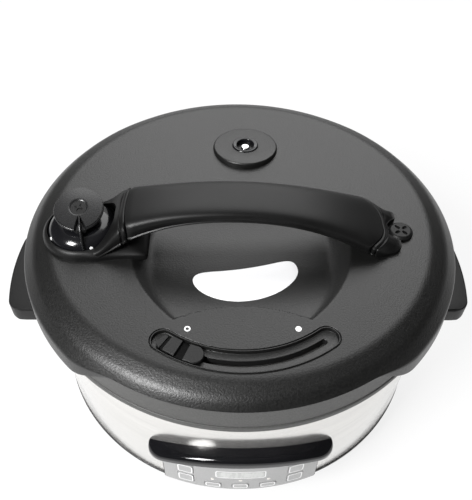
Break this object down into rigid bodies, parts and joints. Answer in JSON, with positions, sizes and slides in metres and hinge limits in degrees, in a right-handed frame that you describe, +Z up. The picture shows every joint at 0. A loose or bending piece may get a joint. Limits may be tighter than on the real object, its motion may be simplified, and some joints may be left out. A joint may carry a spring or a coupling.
{
  "type": "electric pressure cooker",
  "caption": "Low round electric pressure cooker with a locking lid, arched lid handle, steam regulator, float valve, lifting handles and a key panel under a glossy hood.",
  "frame": {"origin": "middle of the body on the surface that its feet stand on", "axes": "+Z up; -Y towards the control panel; +X to the right-hand lifting handle seen from the panel"},
  "size_m": [0.348, 0.3, 0.194],
  "materials": {
    "lid_plastic": "fine spark-eroded matte",
    "handle_plastic": "satin black",
    "black_plastic": "satin black",
    "gloss_black": "high gloss",
    "knob_plastic": "fine matte",
    "wall_steel": "fine brushed, level grain",
    "liner_steel": "drawn sheet",
    "pot_coating": "non-stick coating",
    "cast_aluminium": "cast, machined top",
    "element_steel": "heat-darkened",
    "screw_steel": "blackened",
    "blade_brass": "bright",
    "circuit_board": "lacquered board",
    "display_block": "satin",
    "panel_silver": "silver paint",
    "key_silver": "silver paint",
    "window_clear": "clear acrylic",
    "foot_rubber": "matte rubber",
    "seal_silicone": "translucent silicone",
    "trim_plastic": "satin grey"
  },
  "bodies": {
    "body": {"base_shell": "black_plastic", "feet": "foot_rubber", "base_screws": "screw_steel", "outer_wall": "wall_steel", "collar_ring": "black_plastic", "side_handle_left": "handle_plastic", "side_handle_right": "handle_plastic", "side_handle_screws": "screw_steel", "inner_liner": "liner_steel", "heating_plate": "cast_aluminium", "heating_element": "element_steel", "sensor_spring": "element_steel", "power_board": "circuit_board", "control_board": "circuit_board", "display_module": "display_block", "panel_housing": "panel_silver", "panel_face": "panel_silver", "indicator_lights": "window_clear", "display_window": "window_clear", "hood": "gloss_black", "power_inlet": "black_plastic", "inlet_pins": "blade_brass"},
    "sensor": {"temp_sensor": "liner_steel"},
    "pot": {"inner_pot": "pot_coating"},
    "lid": {"lid_cover": "lid_plastic", "pressure_plate": "liner_steel", "sealing_ring": "seal_silicone", "lid_screws": "screw_steel", "handle_grip": "handle_plastic", "handle_bracket": "handle_plastic", "handle_foot": "handle_plastic", "handle_screws": "screw_steel", "regulator_base": "gloss_black", "vent_pipe": "liner_steel", "vent_shield": "liner_steel", "float_ring_trim": "trim_plastic", "float_guide": "liner_steel", "float_gasket": "seal_silicone"},
    "lock_ring": {"lock_ring": "black_plastic"},
    "slider": {"lock_slider": "black_plastic"},
    "regulator": {"regulator_knob": "knob_plastic", "regulator_weight": "liner_steel"},
    "float": {"float_pin": "liner_steel"},
    "key_left_upper": {"key_left_upper": "key_silver"},
    "key_left_lower": {"key_left_lower": "key_silver"},
    "key_right_upper": {"key_right_upper": "key_silver"},
    "key_right_lower": {"key_right_lower": "key_silver"},
    "key_bottom_left": {"key_bottom_left": "key_silver"},
    "key_bottom_middle": {"key_bottom_middle": "key_silver"},
    "key_bottom_right": {"key_bottom_right": "key_silver"}
  },
  "joints": [
    {"name": "lid_lift", "type": "slide", "parent": "body", "child": "lid", "axis": [0, 0, 1], "range_m": [0, 0.26]},
    {"name": "pot_lift", "type": "slide", "parent": "body", "child": "pot", "axis": [0, 0, 1], "range_m": [0, 0.13]},
    {"name": "lock_ring_turn", "type": "hinge", "parent": "lid", "child": "lock_ring", "pos_m": [0, 0, 0.1453], "axis": [0, 0, 1], "range_deg": [0, 36.4]},
    {"name": "slider_travel", "type": "hinge", "parent": "lid", "child": "slider", "pos_m": [0, -0.036, 0.157], "axis": [0, 0, 1], "range_deg": [0, 52]},
    {"name": "regulator_turn", "type": "hinge", "parent": "lid", "child": "regulator", "pos_m": [-0.1065, -0.017, 0.178], "axis": [0, 0, 1], "range_deg": [-67, 13]},
    {"name": "float_rise", "type": "slide", "parent": "lid", "child": "float", "axis": [0, 0, 1], "range_m": [0, 0.005]},
    {"name": "sensor_press", "type": "slide", "parent": "body", "child": "sensor", "axis": [0, 0, 1], "range_m": [-0.002, 0], "stiffness_N_per_m": 800, "springref_m": 0.002, "deforming": ["sensor_spring"]},
    {"name": "key_left_upper_press", "type": "slide", "parent": "body", "child": "key_left_upper", "axis": [0.2521, 0.9677, 0], "range_m": [0, 0.0008], "stiffness_N_per_m": 500, "springref_m": -0.0006},
    {"name": "key_left_lower_press", "type": "slide", "parent": "body", "child": "key_left_lower", "axis": [0.2521, 0.9677, 0], "range_m": [0, 0.0008], "stiffness_N_per_m": 500, "springref_m": -0.0006},
    {"name": "key_right_upper_press", "type": "slide", "parent": "body", "child": "key_right_upper", "axis": [-0.2521, 0.9677, 0], "range_m": [0, 0.0008], "stiffness_N_per_m": 500, "springref_m": -0.0006},
    {"name": "key_right_lower_press", "type": "slide", "parent": "body", "child": "key_right_lower", "axis": [-0.2521, 0.9677, 0], "range_m": [0, 0.0008], "stiffness_N_per_m": 500, "springref_m": -0.0006},
    {"name": "key_bottom_left_press", "type": "slide", "parent": "body", "child": "key_bottom_left", "axis": [0.1271, 0.9919, 0], "range_m": [0, 0.0008], "stiffness_N_per_m": 500, "springref_m": -0.0006},
    {"name": "key_bottom_middle_press", "type": "slide", "parent": "body", "child": "key_bottom_middle", "axis": [0, 1, 0], "range_m": [0, 0.0008], "stiffness_N_per_m": 500, "springref_m": -0.0006},
    {"name": "key_bottom_right_press", "type": "slide", "parent": "body", "child": "key_bottom_right", "axis": [-0.1271, 0.9919, 0], "range_m": [0, 0.0008], "stiffness_N_per_m": 500, "springref_m": -0.0006}
  ],
  "couplings": [
    {"joint": "pot_lift", "follows": "lid_lift", "ratio": 0.5},
    {"joint": "slider_travel", "follows": "lock_ring_turn", "ratio": 1.4285}
  ]
}
